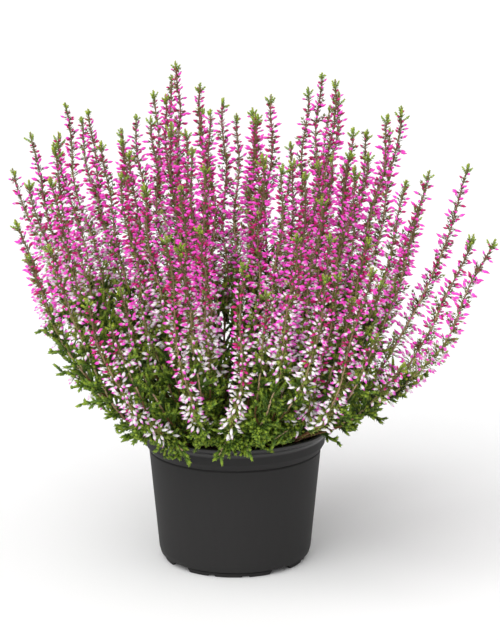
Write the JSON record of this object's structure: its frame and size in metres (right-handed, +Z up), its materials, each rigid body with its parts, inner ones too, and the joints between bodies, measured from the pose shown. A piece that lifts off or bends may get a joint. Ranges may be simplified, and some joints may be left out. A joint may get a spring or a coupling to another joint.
{
  "type": "potted heather",
  "caption": "Flowering heather plant with upright magenta and pale pink flower spikes, standing in soil in a round dark nursery pot.",
  "frame": {"origin": "on the ground under the pot's axis, at the middle of the box's base", "axes": "+Z up along the pot's axis, -Y towards the viewer of the picture, +X to the viewer's right"},
  "size_m": [0.2894, 0.2816, 0.3047],
  "materials": {
    "pot_plastic": "dark charcoal, satin",
    "potting_soil": "damp dark crumbs, dull",
    "heather": "magenta to pale pink buds, mid green leaves, brown stems, all dull"
  },
  "bodies": {
    "root": {"pot": "pot_plastic", "soil": "potting_soil", "heather_shoot_01": "heather", "heather_shoot_02": "heather", "heather_shoot_03": "heather", "heather_shoot_04": "heather", "heather_shoot_05": "heather", "heather_shoot_06": "heather", "heather_shoot_07": "heather", "heather_shoot_08": "heather", "heather_shoot_09": "heather", "heather_shoot_10": "heather", "heather_shoot_11": "heather", "heather_shoot_12": "heather", "heather_shoot_13": "heather", "heather_shoot_14": "heather", "heather_shoot_15": "heather", "heather_shoot_16": "heather", "heather_shoot_17": "heather", "heather_shoot_18": "heather", "heather_shoot_19": "heather", "heather_shoot_20": "heather", "heather_shoot_21": "heather", "heather_shoot_22": "heather", "heather_shoot_23": "heather", "heather_shoot_24": "heather", "heather_shoot_25": "heather", "heather_shoot_26": "heather", "heather_shoot_27": "heather", "heather_shoot_28": "heather", "heather_shoot_29": "heather", "heather_shoot_30": "heather", "heather_shoot_31": "heather", "heather_shoot_32": "heather", "heather_shoot_33": "heather", "heather_shoot_34": "heather", "heather_shoot_35": "heather", "heather_shoot_36": "heather", "heather_shoot_37": "heather", "heather_shoot_38": "heather", "heather_shoot_39": "heather", "heather_shoot_40": "heather", "heather_shoot_41": "heather", "heather_shoot_42": "heather", "heather_shoot_43": "heather", "heather_shoot_44": "heather", "heather_shoot_45": "heather", "heather_shoot_46": "heather", "heather_shoot_47": "heather", "heather_shoot_48": "heather", "heather_shoot_49": "heather", "heather_shoot_50": "heather", "heather_shoot_51": "heather", "heather_shoot_52": "heather", "heather_shoot_53": "heather", "heather_shoot_54": "heather", "heather_shoot_55": "heather", "heather_shoot_56": "heather", "heather_shoot_57": "heather", "heather_shoot_58": "heather"}
  },
  "joints": []
}
